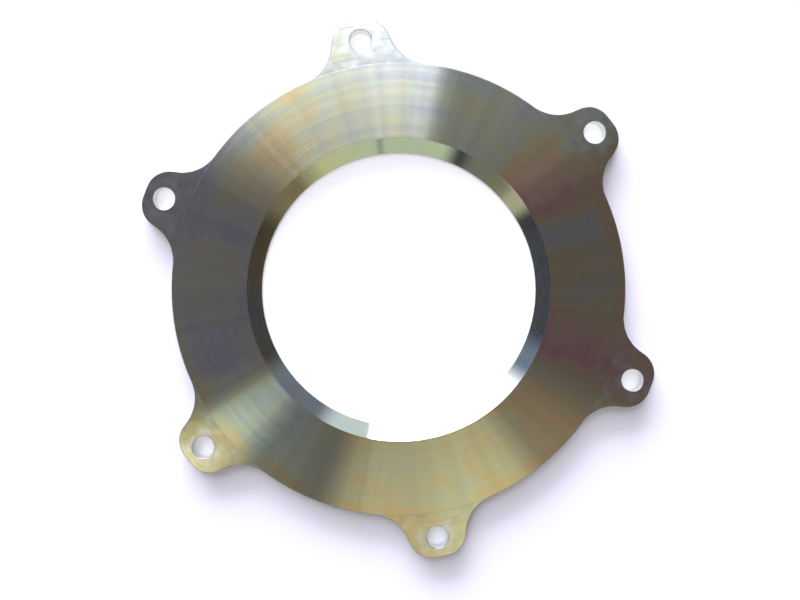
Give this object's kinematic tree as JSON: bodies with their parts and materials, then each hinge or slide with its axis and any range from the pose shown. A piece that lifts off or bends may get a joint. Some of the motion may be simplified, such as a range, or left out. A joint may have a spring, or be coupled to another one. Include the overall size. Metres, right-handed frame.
{
  "type": "clutch thrust ring",
  "caption": "Flat steel clutch thrust ring with a proud turned face, a bevelled bore and rounded bolt ears spaced evenly round its rim, finished in iridescent yellow zinc.",
  "frame": {"origin": "centre of the ring at its flat back face", "axes": "+Z along the ring's axis, from the back towards the turned thrust face; +X through the middle of one bolt ear"},
  "size_m": [0.27, 0.2396, 0.008],
  "materials": {
    "zinc_plated_steel": "turned steel plate with iridescent yellow zinc plating"
  },
  "bodies": {
    "root": {"thrust_ring": "zinc_plated_steel"}
  },
  "joints": []
}
